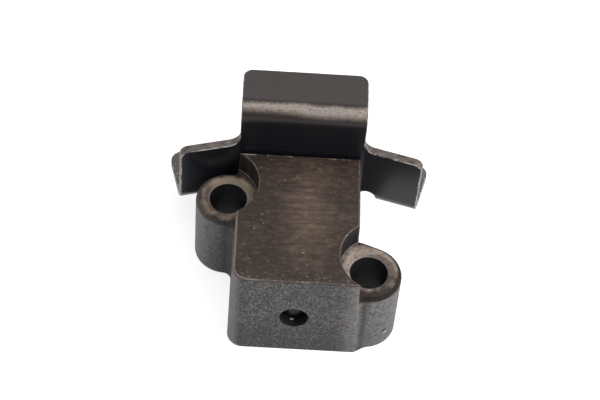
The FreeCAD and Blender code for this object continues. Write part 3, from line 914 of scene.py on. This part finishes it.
def in_notch(look, edge):
    """Whether an edge is in one of the relief notches at the wings' feet, which stay as cut."""
    middle = (edge.verts[0].co + edge.verts[1].co) / 2
    return abs(middle.x) < look.notch and abs(middle.z - GUIDE_FOOT) < look.bend - look.sheet


def rims_between(look, mesh, first, second):
    """Sharp edges between two finishes, those in the notches left out."""
    return [edge for edge in mesh.edges if edge.is_manifold
            and {face.material_index for face in edge.link_faces} == {first, second}
            and edge.calc_face_angle() > math.radians(30) and not in_notch(look, edge)]


def shoe_plate(look):
    """The folded sheet, its cut edges told from its two skins and finely rounded."""
    finishes = (plate_skin, plate_back, cut_edge, edge_line, foot_flange)
    front, back, cut, line, foot = range(len(finishes))
    mesh = merged_copy("shoe_plate")
    tree = BVHTree.FromBMesh(mesh)
    waist = (PLATE_LOW.z + PLATE_HIGH.z) / 2
    for face in mesh.faces:
        low = face.calc_center_median().z < waist
        skin = front if face.normal.dot(Vector((0, -1, -1 if low else 1))) > 0 else back
        if skin == back and low and face.normal.z > 0.3:
            skin = foot
        face.material_index = cut if wall_behind(tree, face) > 1.5 * look.sheet else skin
    bmesh.ops.dissolve_limit(mesh, angle_limit=math.radians(0.3), verts=mesh.verts, edges=mesh.edges,
                             delimit={"MATERIAL"})
    for skin, rim in ((front, line), (back, cut), (foot, line)):
        bmesh.ops.bevel(mesh, geom=rims_between(look, mesh, skin, cut), offset=look.edge, segments=2,
                        profile=0.5, affect="EDGES", material=rim)
    piece = piece_from(mesh, "folded_shoe", [make(look) for make in finishes], math.radians(40))
    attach(piece, "plunger")
    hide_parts("shoe_plate")


# Springs

def spring_tree():
    """Geometry nodes of a helical spring along Y, close coiled at both ends."""
    tree = bpy.data.node_groups.new("Closed Spring", "GeometryNodeTree")
    kinds = {"Geometry": "Geometry", "Wire": "Float", "Mean Radius": "Float", "Turns": "Float",
             "Length": "Float", "Closed Share": "Float", "Sides": "Int", "Foot": "Vector",
             "Material": "Material"}
    for label, kind in kinds.items():
        tree.interface.new_socket(label, in_out="INPUT", socket_type="NodeSocket" + kind)
    tree.interface.new_socket("Geometry", in_out="OUTPUT", socket_type="NodeSocketGeometry")
    nodes = Nodes(tree)
    given = nodes.add("NodeGroupInput").outputs
    wire = given["Wire"]
    radius = given["Mean Radius"]
    closed = given["Closed Share"]
    spiral = nodes.add("GeometryNodeCurveSpiral", {
        "Resolution": SPRING_POINTS, "Rotations": given["Turns"], "Height": 0.0,
        "Start Radius": radius, "End Radius": radius})
    share = nodes.add("GeometryNodeSplineParameter").outputs["Factor"]
    room = nodes.minus(given["Length"], wire)
    packed = nodes.math("MINIMUM", nodes.times(wire, given["Turns"]), room)
    opened = nodes.add("ShaderNodeMapRange", {
        "Value": share, "From Min": closed, "From Max": nodes.minus(1.0, closed)}).outputs["Result"]
    rise = nodes.plus(nodes.times(packed, share), nodes.times(nodes.minus(room, packed), opened))
    rise = nodes.plus(rise, nodes.times(wire, 0.5))
    start = nodes.add("GeometryNodeInputPosition").outputs[0]
    flat = nodes.add("ShaderNodeSeparateXYZ", {0: start}).outputs
    risen = nodes.add("ShaderNodeCombineXYZ", {0: flat[0], 1: rise, 2: flat[1]}).outputs[0]
    path = nodes.add("GeometryNodeSetPosition", {
        "Geometry": spiral.outputs[0],
        "Position": nodes.add("ShaderNodeVectorMath", {0: risen, 1: given["Foot"]}).outputs[0]})
    ring = nodes.add("GeometryNodeCurvePrimitiveCircle", {
        "Resolution": given["Sides"], "Radius": nodes.times(wire, 0.5)})
    wound = nodes.add("GeometryNodeCurveToMesh", {
        "Curve": path.outputs[0], "Profile Curve": ring.outputs[0], "Fill Caps": True})
    smooth = nodes.add("GeometryNodeSetShadeSmooth", {"Geometry": wound.outputs[0]})
    real = nodes.add("GeometryNodeRealizeInstances", {"Geometry": smooth.outputs[0]})
    dressed = nodes.add("GeometryNodeSetMaterial", {
        "Geometry": real.outputs[0], "Material": given["Material"]})
    nodes.add("NodeGroupOutput", {"Geometry": dressed.outputs[0]})
    return tree


def wound_spring(tree, name, material, values):
    """Plain mesh object of one spring from the geometry nodes."""
    maker = placed(name + "_maker", bpy.data.meshes.new(name + "_maker"))
    modifier = maker.modifiers.new("Spring", "NODES")
    modifier.node_group = tree
    sockets = {item.name: item.identifier for item in tree.interface.items_tree if item.in_out == "INPUT"}
    for label, value in {**values, "Material": material}.items():
        modifier[sockets[label]] = value
    data = applied(maker, name)
    bpy.data.objects.remove(maker)
    return placed(name, data)


def spring_pair(look):
    """Both springs, each wound over the length of the frame's spring between the two bodies that it stands
    on.
    """
    tree = spring_tree()
    material = oiled_steel("drawn_wire", look.wire, look.oil, (1.0, 1.0, 1.0), 0.4)
    jobs = (
        ("coiled_plunger_spring", "plunger_spring", look.plunger_wire, look.plunger_turns,
         ("body", "plunger")),
        ("coiled_ball_spring", "check_ball_spring", look.ball_wire, look.ball_turns,
         ("check_ball", "body")),
    )
    for name, node, wire, turns, bodies in jobs:
        low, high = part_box(node)
        piece = wound_spring(tree, name, material, {
            "Wire": wire, "Mean Radius": (high.x - low.x - wire) / 2, "Turns": turns,
            "Length": high.y - low.y, "Closed Share": CLOSED_TURNS / turns, "Sides": look.wire_sides,
            "Foot": (0.0, low.y, AXIS_Z)})
        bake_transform(piece)
        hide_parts(node)


# Operators

class TENSIONER_OT_cast_body(bpy.types.Operator):
    """Make the cast body with its rough sides, ground top and rubbed bosses"""
    bl_idname = IDNAME + ".cast_body"
    bl_label = "Cast Body"

    def execute(self, context):
        cast_body(context.scene.tensioner_body)
        return {"FINISHED"}


class TENSIONER_OT_shoe_plate(bpy.types.Operator):
    """Make the folded shoe plate with its worn bend and cut edges"""
    bl_idname = IDNAME + ".shoe_plate"
    bl_label = "Shoe Plate"

    def execute(self, context):
        shoe_plate(context.scene.tensioner_plate)
        return {"FINISHED"}


class TENSIONER_OT_springs(bpy.types.Operator):
    """Wind the plunger's spring and the check ball's spring"""
    bl_idname = IDNAME + ".springs"
    bl_label = "Springs"

    def execute(self, context):
        spring_pair(context.scene.tensioner_steel)
        return {"FINISHED"}


class TENSIONER_OT_bore_pieces(bpy.types.Operator):
    """Finish the plunger, balls, valve and pin in oiled steel"""
    bl_idname = IDNAME + ".bore_pieces"
    bl_label = "Bore Pieces"

    def execute(self, context):
        look = context.scene.tensioner_steel
        ground = oiled_steel("ground_steel", look.ground, look.oil, (1.0, 0.05, 1.0), 0.15)
        polished = oiled_steel("polished_ball", look.ball, look.oil, (1.0, 1.0, 1.0), 0.5)
        finishes = {"plunger": ground, "guide_pin": ground, "valve_seat": ground, "valve_cage": ground,
                    "plug_ball": plug_ball(look), "check_ball": polished}
        for node, material in finishes.items():
            for holder in frame["nodes"][node].material_slots:
                holder.material = material
        return {"FINISHED"}


class TENSIONER_OT_stage(bpy.types.Operator):
    """Lay the white floor and place the lamps and the camera"""
    bl_idname = IDNAME + ".stage"
    bl_label = "Stage"

    def execute(self, context):
        look = context.scene.tensioner_stage
        white_floor(look)
        studio_lamps(look)
        place_camera(look)
        context.scene.view_settings.view_transform = "Standard"
        return {"FINISHED"}


# Stage

def white_floor(look):
    """Large pale floor that shows white and keeps the shadow."""
    half = 2.0
    gap = 0.02 * MM
    data = bpy.data.meshes.new("floor")
    low = BODY_LOW.z - gap
    corners = [(-half, -half, low), (half, -half, low), (half, half, low), (-half, half, low)]
    data.from_pydata(corners, [], [(0, 1, 2, 3)])
    floor = placed("floor", data)
    coat = Finish("floor_white", specular=0.0)
    shader = coat.shader.inputs
    shader["Base Color"].default_value = (*look.floor, 1.0)
    shader["Roughness"].default_value = 1.0
    path = coat.add("ShaderNodeLightPath").outputs
    seen = coat.most(path["Is Camera Ray"], path["Is Glossy Ray"], path["Is Transmission Ray"])
    shader["Emission Color"].default_value = (1.0, 1.0, 1.0, 1.0)
    coat.tree.links.new(coat.times(seen, look.glow), shader["Emission Strength"])
    data.materials.append(coat.material)


def lamp(name, spot, size, energy):
    """Square area lamp aimed at the part."""
    data = bpy.data.lights.new(name, "AREA")
    data.size = size
    data.energy = energy
    holder = placed(name, data)
    aim = (BODY_LOW + BODY_HIGH) / 2 - Vector(spot)
    holder.location = spot
    holder.rotation_euler = aim.to_track_quat("-Z", "Y").to_euler()


def studio_lamps(look):
    """Soft room light with a key at the front right, a fill at the left and a lamp overhead."""
    lamp("key_lamp", (0.42, -0.16, 0.3), 0.3, look.key)
    lamp("fill_lamp", (-0.42, -0.1, 0.26), 0.35, look.fill)
    lamp("top_lamp", (0.0, 0.12, 0.6), 0.5, look.top)
    world = bpy.data.worlds.new("room")
    world.use_nodes = True
    light = world.node_tree.nodes["Background"].inputs
    light["Strength"].default_value = look.sky
    light["Color"].default_value = (1.0, 1.0, 1.0, 1.0)
    bpy.context.scene.world = world


def place_camera(look):
    """Camera at the photograph's angle."""
    data = bpy.data.cameras.new("camera")
    data.lens = look.lens
    data.sensor_width = 36.0
    data.clip_start = 0.01
    back = Vector((math.sin(look.heading) * math.cos(look.elevation),
                   -math.cos(look.heading) * math.cos(look.elevation), math.sin(look.elevation)))
    right = Vector((0, 0, 1)).cross(back).normalized()
    up = back.cross(right)
    turned = right * math.cos(look.roll) + up * math.sin(look.roll)
    upright = up * math.cos(look.roll) - right * math.sin(look.roll)
    camera = placed("camera", data)
    turn = Matrix((turned, upright, back)).transposed().to_4x4()
    camera.matrix_world = Matrix.Translation(Vector(look.target) + back * look.distance) @ turn
    bpy.context.scene.camera = camera


OPERATORS = (TENSIONER_OT_stage, TENSIONER_OT_cast_body, TENSIONER_OT_shoe_plate, TENSIONER_OT_springs,
             TENSIONER_OT_bore_pieces)


class TENSIONER_PT_panel(bpy.types.Panel):
    """Sidebar list of the tensioner's pieces and stage"""
    bl_label = "Cam Chain Tensioner"
    bl_idname = "TENSIONER_PT_panel"
    bl_space_type = "VIEW_3D"
    bl_region_type = "UI"
    bl_category = "Tensioner"

    def draw(self, context):
        for operator in OPERATORS:
            self.layout.operator(operator.bl_idname)
        for name in SETTINGS:
            group = getattr(context.scene, name)
            box = self.layout.box()
            for setting in group.bl_rna.properties.keys():
                if setting not in ("rna_type", "name"):
                    box.prop(group, setting)


SETTINGS = {"tensioner_body": BodySettings, "tensioner_plate": PlateSettings,
            "tensioner_steel": SteelSettings, "tensioner_stage": StageSettings}


def register():
    for kind in (*SETTINGS.values(), *OPERATORS, TENSIONER_PT_panel):
        bpy.utils.register_class(kind)
    for name, kind in SETTINGS.items():
        setattr(bpy.types.Scene, name, PointerProperty(type=kind))


def unregister():
    for name in SETTINGS:
        delattr(bpy.types.Scene, name)
    for kind in reversed((*SETTINGS.values(), *OPERATORS, TENSIONER_PT_panel)):
        bpy.utils.unregister_class(kind)


def main():
    register()
    bpy.ops.tensioner.stage()
    bpy.ops.tensioner.cast_body()
    bpy.ops.tensioner.shoe_plate()
    bpy.ops.tensioner.springs()
    bpy.ops.tensioner.bore_pieces()
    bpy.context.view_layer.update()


if __name__ == "__main__":
    main()
